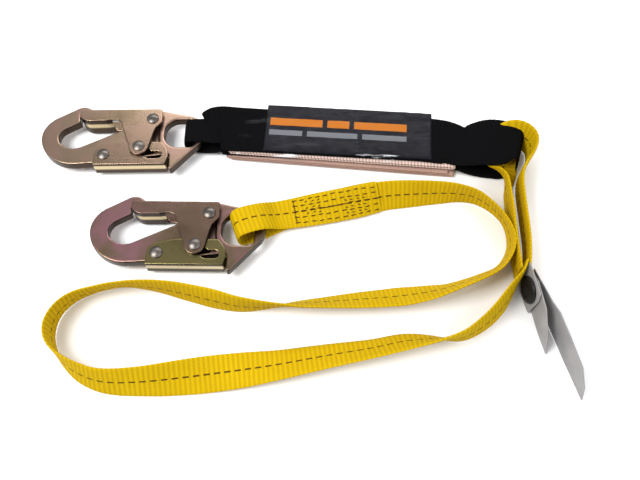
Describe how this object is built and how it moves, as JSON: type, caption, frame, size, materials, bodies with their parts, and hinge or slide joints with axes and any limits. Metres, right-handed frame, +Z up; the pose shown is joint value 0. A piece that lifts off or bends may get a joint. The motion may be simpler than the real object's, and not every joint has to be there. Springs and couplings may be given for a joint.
{
  "type": "shock absorbing lanyard",
  "caption": "Energy-absorbing safety lanyard: a folded tear-webbing pack with a locking snap hook, and a long flat strap ending in a matching snap hook.",
  "frame": {"origin": "on the floor, under the middle of the box round the hooks, the pack and its loops", "axes": "+X from the hooks towards the strap's end of the pack, +Y away from the strap's long loop, +Z up from the floor"},
  "size_m": [0.4075, 0.2482, 0.0283],
  "materials": {
    "zinc_forging": "yellow dichromate zinc plate over forged steel",
    "zinc_sheet": "yellow dichromate zinc plate over bent sheet",
    "rivet_steel": "plain domed rivet heads",
    "spring_steel": "oiled spring wire",
    "yellow_webbing": "woven polyester webbing with black tracer threads",
    "brown_thread": "waxed thread",
    "black_webbing": "woven polyester webbing",
    "tan_webbing": "woven tear webbing with a pale selvedge",
    "label_cover": "printed cover with plain bars",
    "clear_film": "thin clear film",
    "snap_plastic": "moulded snap",
    "tag_sheet": "coated sheet"
  },
  "bodies": {
    "lanyard": {"backup_strap": "black_webbing", "hook_end_loop": "black_webbing", "hook_end_stitching": "brown_thread", "pack_cover": "label_cover", "shrink_sleeve": "clear_film", "strap_end_loop": "black_webbing", "strap_hook_eye": "yellow_webbing", "strap_pack_eye": "yellow_webbing", "strap_run": "yellow_webbing", "tag_back_leaf": "tag_sheet", "tag_front_leaf": "tag_sheet", "tag_middle_leaf": "tag_sheet", "tag_snap_cap": "snap_plastic", "tear_webbing_lower": "tan_webbing", "tear_webbing_upper": "tan_webbing"},
    "pack_hook_frame": {"pack_hook_body": "zinc_forging", "pack_hook_gate_rivet": "rivet_steel", "pack_hook_lever_rivet": "rivet_steel"},
    "pack_hook_gate_group": {"pack_hook_gate": "zinc_sheet", "pack_hook_lock_pin": "rivet_steel", "pack_hook_gate_spring": "spring_steel"},
    "pack_hook_lever_group": {"pack_hook_lock_lever": "zinc_sheet", "pack_hook_lever_spring": "spring_steel"},
    "strap_hook_frame": {"strap_hook_body": "zinc_forging", "strap_hook_gate_rivet": "rivet_steel", "strap_hook_lever_rivet": "rivet_steel"},
    "strap_hook_gate_group": {"strap_hook_gate": "zinc_sheet", "strap_hook_lock_pin": "rivet_steel", "strap_hook_gate_spring": "spring_steel"},
    "strap_hook_lever_group": {"strap_hook_lock_lever": "zinc_sheet", "strap_hook_lever_spring": "spring_steel"}
  },
  "joints": [
    {"name": "pack_hook_swing", "type": "hinge", "parent": "lanyard", "child": "pack_hook_frame", "pos_m": [-0.06841, 0.04897, 0.01105], "axis": [-0.0175, 0.9998, 0], "range_deg": [0, 90]},
    {"name": "pack_hook_gate_turn", "type": "hinge", "parent": "pack_hook_frame", "child": "pack_hook_gate_group", "pos_m": [-0.1072, 0.0595, 0.01105], "axis": [0, 0, 1], "range_deg": [0, 17], "stiffness_Nm_per_rad": 0.35, "springref_deg": -28.65},
    {"name": "pack_hook_lever_turn", "type": "hinge", "parent": "pack_hook_frame", "child": "pack_hook_lever_group", "pos_m": [-0.14382, 0.02586, 0.01105], "axis": [0, 0, 1], "range_deg": [0, 8.5], "stiffness_Nm_per_rad": 0.3, "springref_deg": -28.65},
    {"name": "strap_hook_swing", "type": "hinge", "parent": "lanyard", "child": "strap_hook_frame", "pos_m": [-0.01585, -0.0412, 0.01105], "axis": [0.0131, 0.9999, 0], "range_deg": [0, 90]},
    {"name": "strap_hook_gate_turn", "type": "hinge", "parent": "strap_hook_frame", "child": "strap_hook_gate_group", "pos_m": [-0.0543, -0.0295, 0.01105], "axis": [0, 0, 1], "range_deg": [0, 17], "stiffness_Nm_per_rad": 0.35, "springref_deg": -28.65},
    {"name": "strap_hook_lever_turn", "type": "hinge", "parent": "strap_hook_frame", "child": "strap_hook_lever_group", "pos_m": [-0.09193, -0.06201, 0.01105], "axis": [0, 0, 1], "range_deg": [0, 8.5], "stiffness_Nm_per_rad": 0.3, "springref_deg": -28.65}
  ],
  "couplings": [
    {"joint": "pack_hook_lever_turn", "follows": "pack_hook_gate_turn", "ratio": 0.5},
    {"joint": "strap_hook_lever_turn", "follows": "strap_hook_gate_turn", "ratio": 0.5}
  ]
}
